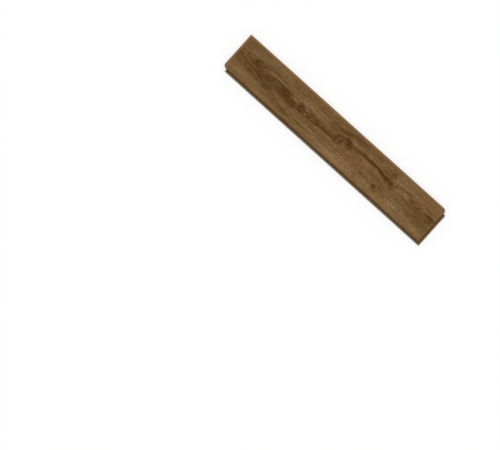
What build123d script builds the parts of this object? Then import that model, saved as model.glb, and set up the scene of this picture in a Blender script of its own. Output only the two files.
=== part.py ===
from build123d import *
import os
from math import radians, sqrt, tan

# A laminate plank for a herringbone floor: one board, pressed and then milled on all four edges.
# It lies decor face up. X runs along the board, Y across it, and z = 0 is its underside. The origin
# is on the underside, midway between the joint lines: the upright planes where laid boards meet.
# The tongues are on the +Y side and the -X end, the grooves on the -Y side and the +X end, so the
# boards of the herringbone's other arm are its mirror image. Sizes are in millimetres.

# The board
face_length = 600.0  # decor face, from joint line to joint line
face_width = 92.0
thickness = 12.0
arris = 0.3  # bevel that eases the edges of the decor face

# The groove, milled in from the joint line
groove_depth = 5.2
upper_lip = 3.6  # board left above the groove
lower_lip = 3.0  # board left below it, at its thinnest
floor_flat = 0.8  # level stretch of the groove's floor, in from the joint line
floor_radius = 6.5  # of the curve that the tongue's belly rolls in on
mouth_chamfer = 0.5  # leads the tongue in, and clears the radius at its root

# The locking lip, under the groove and out past the joint line
lip_reach = 6.4
lip_end_height = 2.4
lip_chamfer = 0.5
lock_offset = 1.6  # foot of the locking face, out from the joint line
lock_angle = 60.0  # of the locking face above level, in degrees
ridge_rise = 1.2  # ridge above the groove's floor
ridge_flat = 1.4

# Room between two boards that are locked together
joint_play = 0.1  # above and below the tongue, and above the ridge
end_gap = 0.3  # before the tongue's nose and before the lip's end

# Radii that the milling tools leave
cutter_radius = 0.4
ridge_radius = 0.25
nose_radius = 0.9

# Heights above the underside, on the groove's side and then on the tongue's
groove_ceiling = thickness - upper_lip
ridge_top = lower_lip + ridge_rise
tongue_top = groove_ceiling - joint_play
belly = lower_lip + joint_play
pocket_ceiling = ridge_top + joint_play

# Distances from the joint line
lock_run = ridge_rise / tan(radians(lock_angle))
ridge_inner = lock_offset + lock_run
ridge_outer = ridge_inner + ridge_flat
tongue_reach = groove_depth - end_gap
pocket_reach = lip_reach + end_gap


def floor_rise(distance):
    """How far the groove's floor, or the tongue's belly, has curved up at a distance from the joint line."""
    return floor_radius - sqrt(floor_radius**2 - (distance - floor_flat) ** 2)


def milled_section(plane, span):
    """The board's section between two joint lines: groove on the plane's left, tongue on its right."""
    left, right = -span / 2, span / 2
    floor_start = (left + floor_flat, lower_lip)
    groove_back = (left + groove_depth, lower_lip + floor_rise(groove_depth))
    belly_start = (right + floor_flat, belly)
    nose = (right + tongue_reach, belly + floor_rise(tongue_reach))
    lip_start = (left - lip_reach + lip_chamfer, 0)
    pocket_foot = (right - pocket_reach, 0)
    face_left, face_right = (left + arris, thickness), (right - arris, thickness)
    with BuildSketch(plane) as section:
        with BuildLine():
            # the locking lip, from its tip to the groove's floor
            FilletPolyline(
                lip_start,
                (left - lip_reach, lip_chamfer),
                (left - lip_reach, lip_end_height),
                (left - ridge_outer, ridge_top),
                (left - ridge_inner, ridge_top),
                (left - lock_offset, lower_lip),
                floor_start,
                radius=(0, cutter_radius, ridge_radius, ridge_radius, ridge_radius),
            )
            # the groove, and the upper lip up to the decor face
            TangentArc(floor_start, groove_back, tangent=(1, 0))
            FilletPolyline(
                groove_back,
                (left + groove_depth, groove_ceiling),
                (left + mouth_chamfer, groove_ceiling),
                (left, groove_ceiling + mouth_chamfer),
                (left, thickness - arris),
                face_left,
                radius=(cutter_radius, 0, 0, 0),
            )
            Line(face_left, face_right)
            # the joint face, and the tongue down to its nose
            FilletPolyline(
                face_right,
                (right, thickness - arris),
                (right, tongue_top),
                (right + tongue_reach, tongue_top),
                nose,
                radius=(0, cutter_radius, nose_radius),
            )
            TangentArc(belly_start, nose, tangent=(1, 0))
            # the belly, its locking face, and the pocket that the next board's lip fills
            FilletPolyline(
                belly_start,
                (right - lock_offset, belly),
                (right - ridge_inner, pocket_ceiling),
                (right - pocket_reach, pocket_ceiling),
                pocket_foot,
                radius=(ridge_radius, ridge_radius, cutter_radius),
            )
            Line(pocket_foot, lip_start)
        make_face()
    return section.sketch


# Past every edge of the finished board
overrun = lip_reach + groove_depth

with BuildPart() as plank:
    # The long edges are milled first: tongue on the +Y side, groove on the -Y side
    extrude(milled_section(Plane.right, face_width), amount=face_length / 2 + overrun, both=True)
    # The ends are milled across them: tongue at -X, groove at +X
    extrude(
        milled_section(Plane.back, face_length),
        amount=face_width / 2 + overrun, both=True, mode=Mode.INTERSECT,
    )
    # Where a lip would run under a tongue, at two corners, the cutter takes off what is left
    with Locations((face_length / 2, face_width / 2 - pocket_reach, 0)):
        Box(
            overrun, pocket_reach + overrun, thickness,
            align=(Align.MIN, Align.MIN, Align.MIN), mode=Mode.SUBTRACT,
        )
    with Locations((-face_length / 2 + pocket_reach, -face_width / 2, 0)):
        Box(
            pocket_reach + overrun, overrun, thickness,
            align=(Align.MAX, Align.MAX, Align.MIN), mode=Mode.SUBTRACT,
        )

plank.part.label = "plank"
os.makedirs("parts", exist_ok=True)
export_step(plank.part, "parts/plank.step")
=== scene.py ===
from math import ceil, cos, radians, sin, sqrt, tan

import bmesh
import bpy
import numpy as np
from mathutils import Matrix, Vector


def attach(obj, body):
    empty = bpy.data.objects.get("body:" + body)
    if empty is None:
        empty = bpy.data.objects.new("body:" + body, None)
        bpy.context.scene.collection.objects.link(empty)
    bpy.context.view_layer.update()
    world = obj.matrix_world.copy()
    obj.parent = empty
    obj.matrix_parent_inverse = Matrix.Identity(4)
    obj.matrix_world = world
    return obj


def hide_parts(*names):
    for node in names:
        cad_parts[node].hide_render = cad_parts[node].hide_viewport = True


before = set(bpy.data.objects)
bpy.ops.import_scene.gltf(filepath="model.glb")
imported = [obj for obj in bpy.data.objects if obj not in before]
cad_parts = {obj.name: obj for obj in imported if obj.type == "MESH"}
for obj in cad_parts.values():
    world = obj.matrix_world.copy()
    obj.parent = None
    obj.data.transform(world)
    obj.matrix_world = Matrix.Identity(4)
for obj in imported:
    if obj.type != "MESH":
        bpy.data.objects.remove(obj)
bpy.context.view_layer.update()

# The board: wood fibre and resin pressed into one hard brown sheet, and sawn to planks. Its long edges
# and then its ends are milled with one click joint: on one side a tongue over a pocket, and on the other
# a groove over a locking lip, which hooks into the next plank's pocket. Sizes are in millimetres.
mm = 0.001
face_length, face_width, thickness = 600.0, 92.0, 12.0
arris = 0.3  # bevel that eases the edges of the decor face
groove_depth, upper_lip, lower_lip = 5.2, 3.6, 3.0
floor_flat, floor_radius, mouth_chamfer = 0.8, 6.5, 0.5
lip_reach, lip_end_height, lip_chamfer = 6.4, 2.4, 0.5
lock_offset, lock_angle, ridge_rise, ridge_flat = 1.6, radians(60), 1.2, 1.4
joint_play, end_gap = 0.1, 0.3
cutter_radius, ridge_radius, nose_radius = 0.4, 0.25, 0.9
facet_turn = radians(12)  # the most that a rounded corner turns at one point
overrun = 12.0  # past the joint lines and faces, for the uncut board and the cutters
hair = 0.01  # nearer than this, two heights are one
level = 0.99  # a face whose normal points up or down by this much lies level

groove_ceiling = thickness - upper_lip
ridge_top = lower_lip + ridge_rise
ridge_inner = lock_offset + ridge_rise / tan(lock_angle)
tongue_top, pocket_ceiling = groove_ceiling - joint_play, ridge_top + joint_play
belly_height = lower_lip + joint_play
tongue_reach, pocket_reach = groove_depth - end_gap, lip_reach + end_gap

fibre_dark, fibre_mid, fibre_light = (80, 58, 36), (114, 86, 57), (148, 117, 82)
papers_brown, papers_depth, papers_blur = (58, 40, 22), 0.38, 0.04


def rounded(corners):
    """Points along a line of corners, each given as (across, up, radius that the cutter leaves)."""
    line = []
    for i, (across, up, radius) in enumerate(corners):
        here = Vector((across, up))
        if radius == 0:
            line.append(here)
            continue
        back = (Vector(corners[i - 1][:2]) - here).normalized()
        on = (Vector(corners[i + 1][:2]) - here).normalized()
        half = back.angle(on) / 2
        centre = here + (back + on).normalized() * radius / sin(half)
        start = here + back * radius / tan(half) - centre
        turn = start.angle_signed(here + on * radius / tan(half) - centre)
        steps = max(2, ceil(abs(turn) / facet_turn))
        for step in range(steps + 1):
            a = -turn * step / steps
            turned = (start.x * cos(a) - start.y * sin(a), start.x * sin(a) + start.y * cos(a))
            line.append(centre + Vector(turned))
    return line


def rolled(joint_line, height, reach, steps=14):
    """The groove's curved floor, or the tongue's belly: points from its level stretch to its reach."""
    runs = [(reach - floor_flat) * step / steps for step in range(1, steps + 1)]
    rise = [floor_radius - sqrt(floor_radius**2 - run**2) for run in runs]
    return [Vector((joint_line + floor_flat + run, height + up)) for run, up in zip(runs, rise)]


def milled_section(span, spare=0.0):
    """The board's outline between two joint lines. Spare carries it past the decor face and underside."""
    left, right = -span / 2, span / 2
    lip = rounded([
        (left - lip_reach + lip_chamfer + spare, -spare, 0),
        (left - lip_reach, lip_chamfer, 0),
        (left - lip_reach, lip_end_height, cutter_radius),
        (left - ridge_inner - ridge_flat, ridge_top, ridge_radius),
        (left - ridge_inner, ridge_top, ridge_radius),
        (left - lock_offset, lower_lip, ridge_radius),
        (left + floor_flat, lower_lip, 0),
    ])
    floor = rolled(left, lower_lip, groove_depth)
    belly = rolled(right, belly_height, tongue_reach)
    faces = rounded([
        (left + groove_depth, groove_ceiling, 0),
        (left + mouth_chamfer, groove_ceiling, 0),
        (left, groove_ceiling + mouth_chamfer, 0),
        (left, thickness - arris, 0),
        (left + arris + spare, thickness + spare, 0),
        (right - arris - spare, thickness + spare, 0),
        (right, thickness - arris, 0),
        (right, tongue_top, cutter_radius),
        (right + tongue_reach, tongue_top, nose_radius),
        (*belly[-1], 0),
    ])
    pocket = rounded([
        (right + floor_flat, belly_height, 0),
        (right - lock_offset, belly_height, ridge_radius),
        (right - ridge_inner, pocket_ceiling, ridge_radius),
        (right - pocket_reach, pocket_ceiling, cutter_radius),
        (right - pocket_reach, -spare, 0),
    ])
    return lip + floor + faces + belly[-2::-1] + pocket


def bar(name, outline, ends, across=False):
    """A solid with this outline between two ends: along the plank, or across it with its tongue at -X."""
    if across:
        points = [(-p.x, end, p.y) for end in ends for p in outline]
    else:
        points = [(end, p.x, p.y) for end in ends for p in outline]
    count = len(outline)
    sides = [(i, (i + 1) % count, count + (i + 1) % count, count + i) for i in range(count)]
    work = bmesh.new()
    corners = [work.verts.new(Vector(point) * mm) for point in points]
    for face in sides + [range(count), range(count, 2 * count)]:
        work.faces.new([corners[i] for i in face])
    bmesh.ops.recalc_face_normals(work, faces=work.faces)
    mesh = bpy.data.meshes.new(name)
    work.to_mesh(mesh)
    work.free()
    made = bpy.data.objects.new(name, mesh)
    bpy.context.scene.collection.objects.link(made)
    return made


def corner_run(name, x_range, y_range):
    """Where the cutter runs out over a corner and takes off a lip that would lie under a tongue."""
    low, high = -overrun, thickness + overrun
    outline = [Vector((y, z)) for y, z in zip(y_range + y_range[::-1], (low, low, high, high))]
    return bar(name, outline, x_range)


long_run, end_run = face_length / 2 + overrun, face_width / 2 + overrun
plank = bar("laminate_plank", milled_section(face_width), (-long_run, long_run))
end_milling = bar("end_milling", milled_section(face_length, overrun), (-end_run, end_run), across=True)
far_corner = corner_run(
    "far_corner", (face_length / 2, long_run), (face_width / 2 - pocket_reach, end_run)
)
near_corner = corner_run(
    "near_corner", (-long_run, pocket_reach - face_length / 2), (-end_run, -face_width / 2)
)
for cutter, way in ((end_milling, "INTERSECT"), (far_corner, "DIFFERENCE"), (near_corner, "DIFFERENCE")):
    cut = plank.modifiers.new(cutter.name, "BOOLEAN")
    cut.operation, cut.object, cut.solver = way, cutter, "EXACT"
milled = plank.evaluated_get(bpy.context.evaluated_depsgraph_get())
plank.data = bpy.data.meshes.new_from_object(milled)
plank.data.name = "laminate_plank"
plank.modifiers.clear()
for cutter in (end_milling, far_corner, near_corner):
    bpy.data.objects.remove(cutter)


class Wire:
    """One output in a material's nodes. A sum that is written on it adds Math nodes."""

    def __init__(self, tree, socket=None):
        self.tree, self.socket = tree, socket

    def node(self, kind, settings, sockets, out=0):
        """Any node: first its settings, a ramp's stops among them, and then its sockets."""
        made = self.tree.nodes.new(kind)
        for name, value in settings.items():
            if name == "stops":
                ramp = made.color_ramp.elements
                ramp.remove(ramp[-1])
                ramp[0].position, ramp[0].color = value[0]
                for place, colour in value[1:]:
                    ramp.new(place).color = colour
            else:
                setattr(made, name, value)
        for name, value in sockets.items():
            if isinstance(value, Wire):
                self.tree.links.new(value.socket, made.inputs[name])
            else:
                made.inputs[name].default_value = value
        return Wire(self.tree, made.outputs[out] if made.outputs else None)

    def maths(self, operation, *values):
        return self.node("ShaderNodeMath", {"operation": operation}, dict(enumerate(values)))

    def __add__(self, other):
        return self.maths("ADD", self, other)

    def __sub__(self, other):
        return self.maths("SUBTRACT", self, other)

    def __rsub__(self, other):
        return self.maths("SUBTRACT", other, self)

    def __mul__(self, other):
        return self.maths("MULTIPLY", self, other)

    __radd__, __rmul__ = __add__, __mul__

    def between(self, low, high):
        """0 up to low, 1 from high, and a soft step between them."""
        settings = {"interpolation_type": "SMOOTHSTEP"}
        return self.node("ShaderNodeMapRange", settings, {"Value": self, "From Min": low, "From Max": high})


def ink(colour):
    """A colour read off a screen, its parts 0 to 255, as Blender wants it."""
    parts = [c / 255 for c in colour]
    return (*[c / 12.92 if c <= 0.04045 else ((c + 0.055) / 1.055) ** 2.4 for c in parts], 1)


def start_material(name):
    material = bpy.data.materials.new(name)
    material.use_nodes = True
    material.node_tree.nodes.clear()
    return material, Wire(material.node_tree)


def spot_on_plank(wire):
    """Where a point of the surface lies, in millimetres."""
    metres = wire.node("ShaderNodeTexCoord", {}, {}, "Object")
    return wire.node("ShaderNodeVectorMath", {"operation": "SCALE"}, {0: metres, "Scale": 1 / mm})


def speckle(wire, place, stretch, detail=4.0, roughness=0.55):
    """Noise on a place in millimetres, after its x, y and z are multiplied by the stretch."""
    spread = wire.node("ShaderNodeVectorMath", {"operation": "MULTIPLY"}, {0: place, 1: stretch})
    sockets = {"Vector": spread, "Scale": 1.0, "Detail": detail, "Roughness": roughness}
    return wire.node("ShaderNodeTexNoise", {}, sockets)


def toned(wire, amount, stops):
    """The colour at this amount on a ramp, whose stops are given as (amount, colour)."""
    stops = [(at, ink(colour)) for at, colour in stops]
    return wire.node("ShaderNodeValToRGB", {"stops": stops}, {0: amount})


def blended(wire, share, under, over, way="MIX"):
    """Two colours together, with this share of the second."""
    settings = {"data_type": "RGBA", "blend_type": way}
    # 6, 7 and output 2 are the sockets that this node keeps for colours
    return wire.node("ShaderNodeMix", settings, {0: share, 6: under, 7: over}, 2)


def finish_surface(wire, colour, roughness, gloss, relief, depth, strength):
    """The material's surface, with fine relief of this depth in millimetres."""
    nap = wire.node("ShaderNodeBump", {}, {"Strength": strength, "Distance": depth * mm, "Height": relief})
    sockets = {"Base Color": colour, "Roughness": roughness, "Specular IOR Level": gloss, "Normal": nap}
    skin = wire.node("ShaderNodeBsdfPrincipled", {}, sockets)
    wire.node("ShaderNodeOutputMaterial", {}, {"Surface": skin})


core, wire = start_material("pressed_fibre")
place = spot_on_plank(wire)
height = wire.node("ShaderNodeSeparateXYZ", {}, {0: place}, "Z")
chips = speckle(wire, place, (1.1, 1.1, 3.0))
dust = speckle(wire, place, (4.0, 4.0, 9.0), detail=2.0)
mill_lines = speckle(wire, place, (0.04, 0.04, 6.0), detail=2.0)
# the fibre is pressed hardest, and so is darkest, next to the two faces
off_middle = (height - thickness / 2) * (2 / thickness)
shade = 0.12 + (1 - off_middle * off_middle) * 0.16 + chips * 0.42 + dust * 0.26 + mill_lines * 0.10
fibre = toned(wire, shade, [(0.36, fibre_dark), (0.55, fibre_mid), (0.78, fibre_light)])
# the cut edge of the papers is a thin dark line at the top
foot = thickness - papers_depth
papers = (height + (chips - 0.5) * 0.15).between(foot - papers_blur, foot + papers_blur)
finish_surface(
    wire, blended(wire, papers, fibre, ink(papers_brown)), roughness=0.92 - papers * 0.45, gloss=0.25,
    relief=chips * 0.6 + dust * 0.7 + mill_lines, depth=0.05, strength=0.5,
)
plank.data.materials.clear()
plank.data.materials.append(core)

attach(plank, "root")
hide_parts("plank")

# The balancing paper: a resin-soaked sheet pressed onto the underside, so that the face's papers can't
# bow the board. It is plain, and cut off with the board when that is milled.
paper_light, paper_dark = (188, 172, 144), (158, 141, 112)

backing, wire = start_material("balancing_paper")
place = spot_on_plank(wire)
cloud = speckle(wire, place, (0.05, 0.05, 0.05), detail=3.0)
felt = speckle(wire, place, (0.8, 2.4, 1.0))
finish_surface(
    wire, toned(wire, cloud * 0.5 + felt * 0.5, [(0.35, paper_dark), (0.62, paper_light)]),
    roughness=0.7 - felt * 0.2, gloss=0.3, relief=felt, depth=0.03, strength=0.3,
)
plank.data.materials.append(backing)
for face in plank.data.polygons:
    if face.normal.z < -level and abs(face.center.z) < hair * mm:
        face.material_index = plank.data.materials.find(backing.name)

# The decor face: paper printed as old oak, under a clear wear layer, pressed onto the board by a plate
# that sinks the print's cracks, knots and grain a little. The heart of the tree wavers along the print.
# It comes up to the face in eyes and knots, and the growth rings close round them.
squares_along, squares_across = 500, 166
sunk_crack, sunk_knot, sunk_grain = 0.16, 0.06, 0.04
weld = 0.002  # points nearer than this are joined, such as the net's edge and the board's
fade_width = 2.0  # the relief fades out over this, next to the rim
grain_fineness = 8  # of the relief, against the rings

# Places are (along from the tongued end, across from the tongued long edge).
heart_line = [
    (0, 36), (50, 31), (95, 38), (146, 45), (197, 45), (262, 43), (325, 31), (400, 29), (457, 35), (515, 33),
    (575, 37), (600, 37),
]
heart_depth = [
    (0, 6), (20, 7), (50, 1), (84, 7), (130, 5), (160, 7), (197, 1), (236, 9), (280, 10), (328, 2), (370, 9),
    (425, 8), (455, 3), (490, 7), (516, 3), (545, 8), (600, 5),
]
mean_heart, waver_reach, waver_lost = 37, 26, 0.6  # this far from the heart, the rings waver less with it
calm_reach, calm_share = 12, 0.15  # and this near to it, they have less chance wander of their own

# knots of side branches, which push the rings outwards: (along, across, half length)
side_knots = [(437, 65, 8), (394, 66, 10), (562, 60, 12)]
side_push, side_width = 4.5, 4

# soft shades of the print, dark and then light: (along, across, half length, half width, tone)
shades = [
    (8, 35, 8, 5, -0.14), (28, 51, 45, 11, -0.26), (46, 60, 12, 5, -0.18), (85, 60, 30, 8, -0.26),
    (105, 62, 14, 7, -0.24), (61, 36, 19, 9, -0.34), (41, 33, 9, 4, -0.26), (72, 30, 12, 6, -0.18),
    (78, 46, 16, 6, -0.28), (88, 23, 38, 4, -0.24), (108, 47, 22, 6, -0.34), (98, 38, 14, 6, -0.30),
    (95, 49, 8, 3, -0.20), (143, 45, 27, 10, -0.50), (136, 54, 8, 4, -0.16), (148, 61, 8, 5, -0.12),
    (132, 35, 24, 5, -0.24), (156, 50, 12, 7, -0.24), (160, 14, 26, 8, -0.14), (172, 56, 12, 7, -0.26),
    (172, 48, 12, 6, -0.28), (195, 45, 12, 8, -0.48), (187, 38, 8, 4, -0.28), (218, 46, 12, 7, -0.32),
    (238, 45, 12, 7, -0.26), (272, 44, 42, 6, -0.16), (240, 15, 14, 2.5, -0.24), (280, 17, 22, 4, -0.30),
    (311, 16, 15, 5, -0.42), (298, 18, 8, 3, -0.20), (317, 12, 12, 5, -0.24), (374, 23, 12, 3, -0.24),
    (290, 29, 20, 4, -0.28), (301, 23, 12, 3, -0.18), (345, 8, 24, 4.5, -0.34), (355, 16, 10, 3, -0.16),
    (410, 8, 12, 4, -0.20), (328, 31, 11, 8, -0.50), (334, 42, 7, 4, -0.16), (304, 40, 12, 9, -0.26),
    (312, 36, 5, 8, -0.14), (360, 30, 30, 4, -0.24), (390, 29, 18, 4, -0.32), (418, 31, 20, 4, -0.36),
    (437, 35, 10, 5, -0.36), (450, 36, 7, 6.5, -0.46), (465, 35, 4, 6, -0.42), (454, 36, 6, 5, -0.26),
    (458, 35, 14, 6, -0.26), (468, 42, 8, 9, -0.30), (455, 18, 7, 11, -0.28), (441, 73, 8, 7, -0.26),
    (453, 58, 9, 10, -0.22), (463, 71, 9, 7, -0.24), (345, 56, 12, 4, -0.12), (370, 61, 10, 5, -0.14),
    (566, 43, 34, 8, -0.14), (564, 60, 26, 7, -0.18), (534, 64, 8, 5, -0.14), (545, 39, 9, 4, -0.20),
    (583, 33, 13, 5, -0.24), (590, 43, 9, 4, -0.22), (568, 21, 20, 4, -0.18), (394, 67, 7, 6, -0.24),
    (388, 84, 16, 3, -0.16),
    (20, 80, 40, 10, 0.07), (335, 80, 90, 12, 0.23), (130, 86, 60, 6, 0.14), (235, 26, 35, 6, 0.16),
    (194, 24, 16, 8, 0.12), (186, 60, 8, 5, 0.14), (155, 67, 10, 4, 0.10), (166, 36, 8, 4, 0.10),
    (400, 21, 40, 4, 0.16), (336, 22, 14, 4, 0.22), (500, 34, 16, 9, 0.20), (512, 32, 11, 6, 0.30),
    (520, 54, 14, 6, 0.10), (415, 73, 18, 7, 0.22), (485, 76, 42, 14, 0.20), (562, 82, 42, 9, 0.17),
    (525, 14, 70, 12, 0.18), (280, 55, 30, 4, 0.12),
]
shade_edge = 1.4  # above 1, a shade is flatter in its middle and firmer at its edge

# strokes of the print, dark and then light: (tone, half width, points)
strokes = [
    (-0.80, 1.9, [(63, 26), (53, 27), (44, 32), (49, 36), (56, 39)]),
    (-0.55, 1.4, [(42, 33), (48, 36), (54, 39), (60, 41)]),
    (-0.42, 1.3, [(36, 25), (27, 28), (19, 31), (28, 35), (40, 39), (56, 42)]),
    (-0.35, 1.5, [(-2, 39), (14, 41)]),
    (-0.60, 1.4, [(35, 47), (55, 49), (70, 52), (84, 57)]),
    (-0.25, 0.9, [(84, 31), (80, 36), (85, 42), (94, 46)]),
    (-0.25, 1.2, [(160, 33), (140, 35), (118, 33), (96, 34)]),
    (-0.30, 1.6, [(112, 62), (128, 66), (145, 72)]),
    (-0.35, 1.9, [(150, 74), (165, 77), (182, 78)]),
    (-0.32, 1.8, [(186, 75), (212, 76), (256, 76)]),
    (-0.30, 1.6, [(163, 50), (185, 53), (205, 54), (224, 52)]),
    (-0.30, 1.8, [(147, 35), (153, 40), (157, 46), (162, 51)]),
    (-0.42, 1.7, [(163, 41), (168, 45)]),
    (-0.48, 1.7, [(171, 49), (177, 45)]),
    (-0.62, 1.6, [(184, 48), (187, 43), (194, 41), (201, 41), (206, 44)]),
    (-0.20, 1.5, [(185, 38), (192, 36), (198, 35)]),
    (-0.40, 1.7, [(184, 48), (192, 52), (201, 53), (212, 54)]),
    (-0.50, 1.5, [(210, 40), (214, 45)]),
    (-0.60, 1.6, [(222, 53), (236, 51), (250, 48), (270, 47), (302, 48)]),
    (-0.26, 1.0, [(250, 71), (290, 72), (335, 69)]),
    (-0.42, 2.6, [(306, 31), (299, 35), (297, 42), (298, 51)]),
    (-0.48, 1.4, [(302, 33), (311, 31), (318, 27), (325, 23)]),
    (-0.52, 1.5, [(324, 29), (316, 34), (312, 40), (313, 48)]),
    (-0.72, 2.6, [(319, 23), (329, 26), (339, 30)]),
    (-0.80, 2.0, [(328, 35), (335, 36), (343, 36)]),
    (-0.40, 1.8, [(331, 27), (331, 37)]),
    (-0.38, 1.2, [(358, 32), (378, 31), (398, 32)]),
    (-0.30, 1.2, [(345, 29), (362, 27), (378, 25), (398, 27)]),
    (-0.70, 1.6, [(392, 27), (415, 28), (430, 30), (440, 32), (456, 32)]),
    (-0.40, 1.2, [(421, 33), (427, 36), (431, 38)]),
    (-0.44, 1.7, [(428, 24), (440, 24), (452, 26)]),
    (-0.40, 1.4, [(408, 33), (409, 44)]),
    (-0.60, 1.2, [(477, 29), (479, 32), (484, 34)]),
    (-0.24, 0.8, [(478, 25), (500, 27), (526, 25)]),
    (-0.50, 1.1, [(526, 29), (528, 34), (526, 40)]),
    (-0.14, 1.0, [(498, 43), (530, 46), (565, 49), (598, 50)]),
    (-0.60, 1.5, [(566, 36), (583, 36), (598, 37)]),
    (-0.30, 1.6, [(575, 46), (583, 46)]),
    (-1.00, 2.0, [(433, 65), (441, 65)]),
    (-0.30, 1.1, [(213, 47), (217, 50), (226, 49)]),
    (-0.28, 1.1, [(218, 37), (225, 42), (224, 47)]),
    (-0.20, 1.0, [(360, 39), (374, 39), (386, 40)]),
    (-0.26, 1.1, [(502, 45), (516, 46), (534, 47)]),
    (0.40, 1.2, [(31, 43), (47, 45), (68, 49)]),
    (0.24, 1.0, [(78, 30), (100, 29), (130, 29), (162, 30)]),
    (0.26, 1.6, [(82, 28), (73, 32), (74, 38), (82, 45)]),
    (0.42, 1.3, [(80, 33), (83, 36), (86, 39)]),
    (0.28, 1.2, [(100, 44), (116, 45), (140, 47)]),
    (0.26, 1.8, [(140, 34), (144, 38), (147, 43)]),
    (0.30, 1.6, [(119, 37), (127, 41)]),
    (0.18, 1.2, [(160, 41), (168, 37), (178, 34), (196, 32)]),
    (0.20, 1.3, [(196, 33), (209, 37), (217, 42), (220, 49)]),
    (0.40, 1.6, [(205, 41), (208, 46), (212, 53)]),
    (0.46, 1.4, [(233, 40), (229, 46), (222, 51)]),
    (0.14, 2.2, [(192, 47), (203, 48)]),
    (0.28, 1.5, [(301, 38), (311, 35)]),
    (0.34, 1.8, [(303, 43), (309, 46)]),
    (0.30, 1.3, [(333, 32), (338, 33)]),
    (0.42, 1.1, [(360, 36), (378, 35), (398, 35)]),
    (0.22, 1.2, [(417, 32), (426, 33)]),
    (0.16, 1.2, [(414, 36), (422, 36)]),
    (0.42, 1.3, [(503, 29), (508, 33), (515, 38), (523, 40)]),
    (0.40, 1.5, [(466, 42), (480, 41), (500, 41), (516, 43)]),
    (0.42, 1.3, [(508, 29), (520, 31)]),
    (0.24, 1.0, [(210, 69), (240, 68), (262, 69)]),
]
# open cracks: (darkness, half width, points)
cracks = [
    (1.0, 1.2, [(400, 28), (417, 28), (427, 29), (438, 32)]),
    (0.7, 0.8, [(432, 31), (442, 33), (454, 32)]),
    (0.7, 0.7, [(376, 32), (390, 33), (404, 33)]),
    (0.6, 0.7, [(60, 51), (70, 52), (84, 57)]),
    (0.5, 0.7, [(236, 51), (250, 48), (270, 47), (302, 48)]),
    (0.6, 0.7, [(572, 37), (583, 36), (594, 37)]),
    (0.6, 0.8, [(61, 26), (53, 27), (45, 31)]),
    (0.5, 0.7, [(330, 36), (336, 36), (342, 36)]),
    (0.5, 0.6, [(186, 46), (188, 43), (193, 41)]),
]
end_share = 0.45  # of a stroke's width and strength that is left at its ends
halving = 0.7  # exp(-0.7) is a half, so a stroke is half as strong at its half width
knots = [(46, 31, 6), (196, 44, 7), (323, 33, 6), (437, 65, 3), (452, 34, 6)]  # (along, across, size)

ink_stops = [
    (0.00, (70, 41, 0)), (0.22, (80, 51, 12)), (0.42, (94, 66, 31)), (0.58, (112, 82, 47)),
    (0.76, (130, 100, 65)), (1.00, (153, 122, 84)),
]
crack_ink = (58, 27, 0)
olive_cast, rosy_cast = (0.965, 1.015, 0.955, 1), (1.022, 0.994, 1.07, 1)

margin = 60  # past the face on every side, where the drawn lines and the chance swells go on
dice = np.random.default_rng(seed=17)


def read(items, name, width=1, kind=float):
    """One property of all the points, corners or faces of a mesh, with a row for each."""
    values = np.empty(len(items) * width, kind)
    items.foreach_get(name, values)
    return values.reshape(-1, width) if width > 1 else values


def eased(points, along, run):
    """The height of a line given by points, at each place along the plank, its corners eased over a run."""
    ruler = np.arange(-margin, face_length + margin)
    drawn = np.pad(np.interp(ruler, *zip(*points)), 3 * run, mode="edge")
    window = np.exp(-((np.arange(-3 * run, 3 * run + 1) / run) ** 2) / 2)
    return np.interp(along, ruler, np.convolve(drawn, window / window.sum(), "valid"))


def swell(along, across, length, width):
    """Smooth chance swells from -1 to 1, of about this length and width."""
    a, b = (along + margin) / length, (across + margin) / width
    grid = dice.uniform(-1, 1, (int(a.max()) + 2, int(b.max()) + 2))
    i, j = a.astype(int), b.astype(int)
    u, v = (t**2 * (3 - 2 * t) for t in (a - i, b - j))
    near = grid[i, j] * (1 - u) + grid[i + 1, j] * u
    far = grid[i, j + 1] * (1 - u) + grid[i + 1, j + 1] * u
    return near * (1 - v) + far * v


def spot(along, across, at, down, half_length, half_width, edge=1.0):
    """1 in the middle of a spot at (at, down), fading to 0 round it."""
    off = ((along - at) / half_length) ** 2 + ((across - down) / half_width) ** 2
    return np.exp(-(off**edge))


def stroke(along, across, points, half_width):
    """1 on a drawn line, fading to 0 beside it. The line thins and weakens towards its ends."""
    legs = [np.hypot(*np.subtract(b, a)) for a, b in zip(points, points[1:])]
    starts = np.cumsum([0, *legs])
    nearest, at = np.full_like(along, np.inf), np.zeros_like(along)
    for (x0, y0), (x1, y1), leg, start in zip(points, points[1:], legs, starts):
        run = np.clip(((along - x0) * (x1 - x0) + (across - y0) * (y1 - y0)) / leg**2, 0, 1)
        gap = np.hypot(along - x0 - run * (x1 - x0), across - y0 - run * (y1 - y0))
        closer = gap < nearest
        nearest, at = np.where(closer, gap, nearest), np.where(closer, start + run * leg, at)
    swelling = end_share + (1 - end_share) * np.sin(np.pi * at / starts[-1])
    return swelling * np.exp(-halving * (nearest / (half_width * swelling)) ** 2)


# a fine net of squares takes the place of the board's one flat face. It joins the eased edge, which
# is printed too
decor_slot = len(plank.data.materials)
row = squares_across + 1
x = np.linspace(-1, 1, squares_along + 1) * (face_length / 2 - arris)
y = np.linspace(-1, 1, row) * (face_width / 2 - arris)
net_x, net_y = (t.ravel() for t in np.meshgrid(x, y, indexing="ij"))
first_corners = (np.arange(squares_along)[:, None] * row + np.arange(squares_across)).ravel()
squares = first_corners[:, None] + [0, row, row + 1, 1]
net = bpy.data.meshes.new("net")
net.from_pydata(np.stack([net_x, net_y, np.full_like(net_x, thickness)], 1) * mm, [], squares)
net.polygons.foreach_set("material_index", np.full(len(squares), decor_slot))

work = bmesh.new()
work.from_mesh(plank.data)
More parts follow.
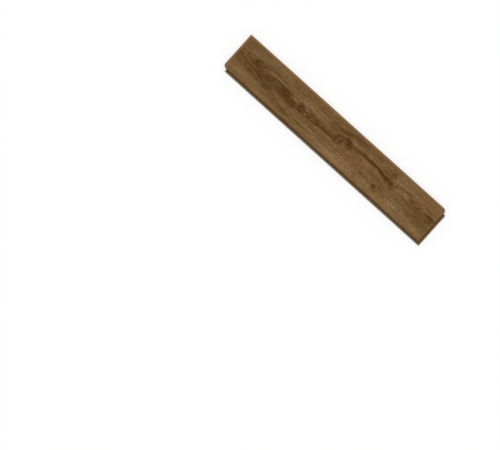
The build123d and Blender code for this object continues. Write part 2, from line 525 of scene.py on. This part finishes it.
# every face is split at the middle of the plank, where the texture map has a seam
whole = work.verts[:] + work.edges[:] + work.faces[:]
bmesh.ops.bisect_plane(work, geom=whole, plane_co=(0, 0, 0), plane_no=(1, 0, 0))
top = [f for f in work.faces if f.normal.z > level and f.calc_center_median().z > (thickness - hair) * mm]
rim = [edge for edge in work.edges if sum(face in top for face in edge.link_faces) == 1]
for face in (face for edge in rim for face in edge.link_faces if face not in top):
    face.material_index = decor_slot
bmesh.ops.delete(work, geom=top, context="FACES_ONLY")
for edge in rim:
    run = edge.verts[1].co - edge.verts[0].co
    squares_beside = squares_along // 2 if abs(run.x) > abs(run.y) else squares_across
    bmesh.ops.subdivide_edges(work, edges=[edge], cuts=squares_beside - 1)
work.from_mesh(net)
bmesh.ops.remove_doubles(work, verts=work.verts, dist=weld * mm)
work.to_mesh(plank.data)
work.free()

points = read(plank.data.vertices, "co", 3) / mm
along, across = points[:, 0] + face_length / 2, face_width / 2 - points[:, 1]

# the growth rings: how far each place is from the heart, which lies below the face
heart, heart_below = eased(heart_line, along, run=9), eased(heart_depth, along, run=5)
away = across - heart
away += (heart - mean_heart) * (1 - np.exp(-((away / waver_reach) ** 2))) * waver_lost
wander = swell(along, across, 110, 26) * 2.6 + swell(along, across, 38, 11) * 0.9
away += wander * np.clip(np.abs(away) / calm_reach, calm_share, 1)
rings = np.hypot(away, heart_below + swell(along, across, 17, 30) * 0.6)
for at, down, half_length in side_knots:
    rings += side_push * spot(along, across, at, down, half_length, side_width)

# shades, strokes and cracks, each of them a little out of true
shade_along = along + swell(along, across, 26, 3.5) * 5
shade_across = across + swell(along, across, 45, 12) * 0.7 + swell(along, across, 16, 5) * 0.7
tones = sum(
    tone * spot(shade_along, shade_across, at, down, half_length, half_width, shade_edge)
    for at, down, half_length, half_width, tone in shades
)
drawn_along = along + swell(along, across, 9, 4)
drawn_across = across + swell(along, across, 14, 9) * 0.6
tones += sum(tone * stroke(drawn_along, drawn_across, line, half_width) for tone, half_width, line in strokes)
crack_across = across + swell(along, across, 5, 30) * 0.3
torn = np.maximum.reduce([
    darkness * stroke(drawn_along, crack_across, line, half_width) for darkness, half_width, line in cracks
])

# the press plate's relief, and what the ink needs at each point
knotted = sum(spot(along, across, at, down, size, size) for at, down, size in knots)
fine_rings = rings * grain_fineness
grain = swell(along, fine_rings, 40, 12) + swell(along, fine_rings, 18, 6) * 0.6
sunk = sunk_crack * torn**1.5 + sunk_knot * knotted.clip(0, 1) + sunk_grain * (0.5 - 0.3 * grain).clip(0, 1)
from_rim = np.minimum.reduce([along, face_length - along, across, face_width - across]) - arris
on_face = points[:, 2] > thickness - hair
points[:, 2] -= np.where(on_face, sunk * np.clip(from_rim / fade_width, 0, 1), 0)
plank.data.vertices.foreach_set("co", (points * mm).ravel())
plank.data.update()
for name, values in (("ring", rings), ("tone", tones), ("crack", torn)):
    plank.data.attributes.new(name, "FLOAT", "POINT").data.foreach_set("value", values)
plank.data.shade_smooth()
plank.data.set_sharp_from_angle(angle=radians(28))

decor, wire = start_material("oak_decor")
ring, tone, crack = (
    wire.node("ShaderNodeAttribute", {"attribute_name": name}, {}, "Fac")
    for name in ("ring", "tone", "crack")
)
place = spot_on_plank(wire)
down_plank = wire.node("ShaderNodeSeparateXYZ", {}, {0: place}, "X")
over_plank = wire.node("ShaderNodeSeparateXYZ", {}, {0: place}, "Y")
# noise on this place follows the rings: along the plank, out from the heart, and across the plank
grown = wire.node("ShaderNodeCombineXYZ", {}, {"X": down_plank, "Y": ring, "Z": over_plank})
growth = speckle(wire, grown, (0.012, 0.42, 0.016), detail=5.0)
near_heart = 1 - ring.between(4, 26)
fibres = speckle(wire, grown, (0.05, 1.9, 0.05), detail=3.0, roughness=0.6)
pores = (speckle(wire, grown, (0.13, 4.4, 0.4), detail=1.0) - (growth - 0.5) * 0.5).between(0.60, 0.68)
mottle = speckle(wire, place, (0.020, 0.05, 0.05), detail=3.0)
ripple = speckle(wire, place, (0.16, 0.11, 0.1), detail=4.0, roughness=0.65)
frayed = speckle(wire, grown, (0.08, 0.34, 0.10), detail=4.0, roughness=0.6)
figure = speckle(wire, place, (0.17, 0.06, 0.1), detail=2.0)
threads = speckle(wire, grown, (0.10, 6.0, 0.1), detail=2.0)
figured = speckle(wire, place, (0.014, 0.03, 0.03), detail=1.0).between(0.42, 0.62)
lightness = (
    0.587
    + tone * (0.70 + (growth - 0.5) * 1.1 + (frayed - 0.5) * 1.5 + (fibres - 0.5) * 2.4)
    + (growth - 0.5) * (0.42 + near_heart * 0.45)
    + (fibres - 0.5) * 0.38
    + (mottle - 0.5) * 0.28
    + (ripple - 0.5) * 0.36
    + (figure - 0.5) * figured * 0.26
    + (threads - 0.5) * 0.30
    - pores * 0.26
    - crack * 0.25
)
warmth = speckle(wire, place, (0.025, 0.07, 0.06), detail=3.0).between(0.35, 0.65)
cast = blended(wire, warmth, olive_cast, rosy_cast)
colour = blended(wire, 1.0, toned(wire, lightness, ink_stops), cast, "MULTIPLY")
colour = blended(wire, crack.between(0.1, 0.9), colour, ink(crack_ink))
finish_surface(
    wire, colour, roughness=0.46 + pores * 0.2 + crack * 0.25 - (growth - 0.5) * 0.2, gloss=0.10,
    relief=fibres * 0.5 - pores * 0.8 + growth * 0.8 - crack * 0.5, depth=0.05, strength=0.6,
)
plank.data.materials.append(decor)

# The texture map, for use outside Blender. The decor face takes most of it, in two half lengths, one
# above the other, and the rest of the board is laid out in the room above those.
map_size, gap = 1024, 4  # pixels

printed = read(plank.data.polygons, "material_index", kind=int) == decor_slot
plank.data.polygons.foreach_set("select", ~printed)
plank.data.uv_layers.new(name="OFBake")
bpy.context.view_layer.objects.active = plank
bpy.context.tool_settings.mesh_select_mode = (False, False, True)
bpy.ops.object.mode_set(mode="EDIT")
bpy.ops.uv.smart_project(angle_limit=radians(66), island_margin=0.004, scale_to_bounds=True)
bpy.ops.object.mode_set(mode="OBJECT")

corners = points[read(plank.data.loops, "vertex_index", kind=int)]
sides = read(plank.data.polygons, "loop_total", kind=int)
upper_half = np.repeat(read(plank.data.polygons, "center", 3)[:, 0] > 0, sides)
scale = (map_size - 2 * gap) / (face_length / 2)
strip = face_width * scale + gap
print_u = gap + (corners[:, 0] + face_length / 2 * ~upper_half) * scale
print_v = gap + (corners[:, 1] + face_width / 2) * scale + upper_half * strip
rest_foot = 2 * strip + 2 * gap
flat = plank.data.uv_layers["OFBake"].uv
rest = read(flat, "vector", 2) * [map_size - 2 * gap, map_size - rest_foot - gap] + [gap, rest_foot]
laid_out = np.where(np.repeat(printed, sides)[:, None], np.stack([print_u, print_v], 1), rest)
flat.foreach_set("vector", (laid_out / map_size).ravel())

# The studio: a white floor that keeps the plank's soft shadow, one wide lamp from the top of the
# picture, and even white light from all round. What is seen directly of the floor and sky is white.
floor_grey, floor_glow, floor_reach = 0.86, 0.14, 9.0
lamp_strength, lamp_width, lamp_aim = 1.9, radians(28), Vector((0.75, -0.7, -1.5))
sky_strength = 0.5
white = (1, 1, 1, 1)


def seen_directly(wire):
    """1 for rays that show a surface, straight or in gloss or glass, and 0 for those that light others."""
    straight, glossy, through = (
        wire.node("ShaderNodeLightPath", {}, {}, ray)
        for ray in ("Is Camera Ray", "Is Glossy Ray", "Is Transmission Ray")
    )
    return wire.maths("MAXIMUM", straight, wire.maths("MAXIMUM", glossy, through))


floor = bpy.data.objects.new("studio_floor", bpy.data.meshes.new("studio_floor"))
floor_corners = [(x * floor_reach, y * floor_reach, 0) for x, y in ((-1, -1), (1, -1), (1, 1), (-1, 1))]
floor.data.from_pydata(floor_corners, [], [(0, 1, 2, 3)])
bpy.context.scene.collection.objects.link(floor)
paint, wire = start_material("floor_paint")
matt = wire.node("ShaderNodeBsdfDiffuse", {}, {"Color": (floor_grey, floor_grey, floor_grey, 1)})
glow = wire.node("ShaderNodeEmission", {}, {"Color": white, "Strength": seen_directly(wire) * floor_glow})
both = wire.node("ShaderNodeAddShader", {}, {0: matt, 1: glow})
wire.node("ShaderNodeOutputMaterial", {}, {"Surface": both})
floor.data.materials.append(paint)

lamp = bpy.data.objects.new("wide_lamp", bpy.data.lights.new("wide_lamp", "SUN"))
lamp.data.energy, lamp.data.angle = lamp_strength, lamp_width
lamp.rotation_euler = lamp_aim.to_track_quat("-Z", "Y").to_euler()
bpy.context.scene.collection.objects.link(lamp)

world = bpy.data.worlds.new("studio")
world.use_nodes = True
world.node_tree.nodes.clear()
wire = Wire(world.node_tree)
brightness = sky_strength + seen_directly(wire) * (1 - sky_strength)
sky = wire.node("ShaderNodeBackground", {}, {"Color": white, "Strength": brightness})
wire.node("ShaderNodeOutputWorld", {}, {"Surface": sky})
bpy.context.scene.world = world
bpy.context.scene.view_settings.view_transform = "Standard"

# The camera looks straight down through a long lens, as the photograph does. The picture is 1.15 m
# wide, and the plank lies at the place and turn that it has there.
picture_width, picture_pixels, picture_turn = 1.1499, 500, radians(42.0)
plank_right, plank_up = 85.0, 85.5  # from the middle of the picture to the plank's middle, in pixels
lens, sensor, sight = 150.0, 36.0, 50.0

camera = bpy.data.objects.new("camera", bpy.data.cameras.new("camera"))
camera.data.lens, camera.data.sensor_width, camera.data.clip_end = lens, sensor, sight
picture_right = Vector((cos(picture_turn), sin(picture_turn), 0))
picture_top = Vector((-sin(picture_turn), cos(picture_turn), 0))
camera.location = -picture_width / picture_pixels * (plank_right * picture_right + plank_up * picture_top)
camera.location.z = thickness * mm + picture_width * lens / sensor
camera.rotation_euler = (0, 0, picture_turn)
bpy.context.scene.collection.objects.link(camera)
bpy.context.scene.camera = camera
